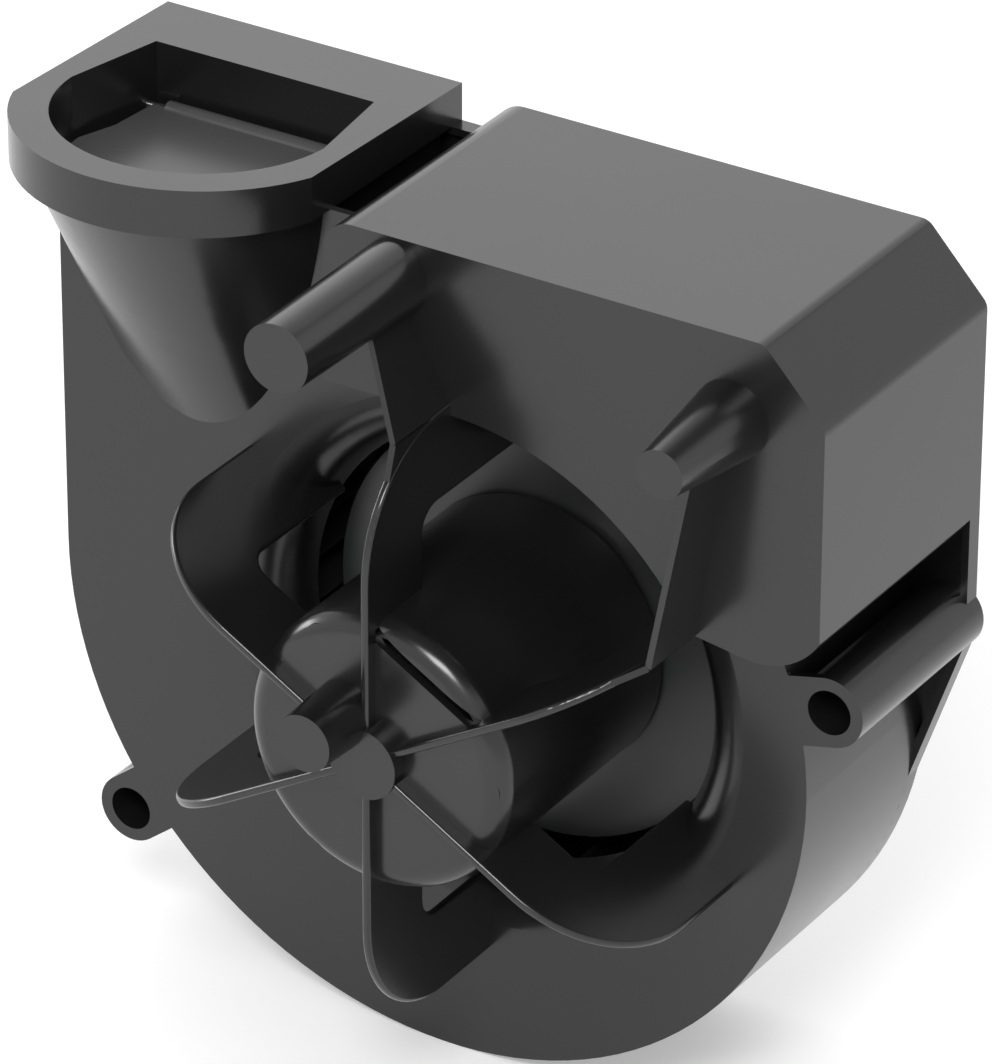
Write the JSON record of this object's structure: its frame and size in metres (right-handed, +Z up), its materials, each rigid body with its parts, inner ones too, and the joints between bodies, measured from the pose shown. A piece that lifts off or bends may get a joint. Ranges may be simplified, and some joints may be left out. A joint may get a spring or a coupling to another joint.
{
  "type": "radial fan insert",
  "caption": "Radial exhaust fan insert: scroll casing with bellmouth inlet, finned motor cup, electronics box and D-shaped outlet with a backdraft flap.",
  "frame": {"origin": "midway between the centres of the two fixing bosses, on the front face of the front plate", "axes": "+X to the right and +Z up as seen from the inlet side, +Y back through the casing, parallel to the fan axis"},
  "size_m": [0.2322, 0.1253, 0.2327],
  "materials": {
    "housing_plastic": "moulded, fine satin",
    "cover_plastic": "moulded, fine satin",
    "flap_plastic": "moulded, satin",
    "impeller_plastic": "moulded, satin",
    "screw_steel": "zinc plated",
    "shaft_steel": "ground",
    "core_steel": "stacked laminations",
    "copper": "enamelled winding wire",
    "shield_aluminium": "pressed",
    "bearing_bronze": "sintered",
    "rubber": "moulded",
    "board_laminate": "solder mask",
    "component_plastic": "moulded",
    "capacitor_case": "moulded",
    "terminal_plastic": "moulded",
    "ferrite": "sintered",
    "plug_plastic": "moulded",
    "contact_brass": "stamped",
    "lead_insulation": "extruded"
  },
  "bodies": {
    "housing": {"main_housing": "housing_plastic", "rear_cover": "cover_plastic", "cover_screws": "screw_steel", "motor_front_shield": "shield_aluminium", "motor_rear_shield": "shield_aluminium", "motor_stator": "core_steel", "motor_coils": "copper", "front_bearing": "bearing_bronze", "rear_bearing": "bearing_bronze", "motor_cushion": "rubber", "motor_bushes": "rubber", "motor_screws": "screw_steel", "flap_pin": "shaft_steel", "control_board": "board_laminate", "board_screws": "screw_steel", "board_relay": "component_plastic", "run_capacitor": "capacitor_case", "terminal_block": "terminal_plastic", "board_choke": "ferrite", "mains_plug": "plug_plastic", "plug_contacts": "contact_brass", "plug_leads": "lead_insulation"},
    "fan": {"motor_shaft": "shaft_steel", "motor_rotor": "core_steel", "impeller": "impeller_plastic", "impeller_front_ring": "impeller_plastic", "impeller_clip": "shaft_steel"},
    "flap": {"backdraft_flap": "flap_plastic"}
  },
  "joints": [
    {"name": "fan_spin", "type": "hinge", "parent": "housing", "child": "fan", "pos_m": [0.0056, 0, 0.0284], "axis": [0, 1, 0], "continuous": true},
    {"name": "flap_swing", "type": "hinge", "parent": "housing", "child": "flap", "pos_m": [-0.0809, 0.033, 0.133], "axis": [-1, 0, 0], "range_deg": [0, 75]}
  ]
}
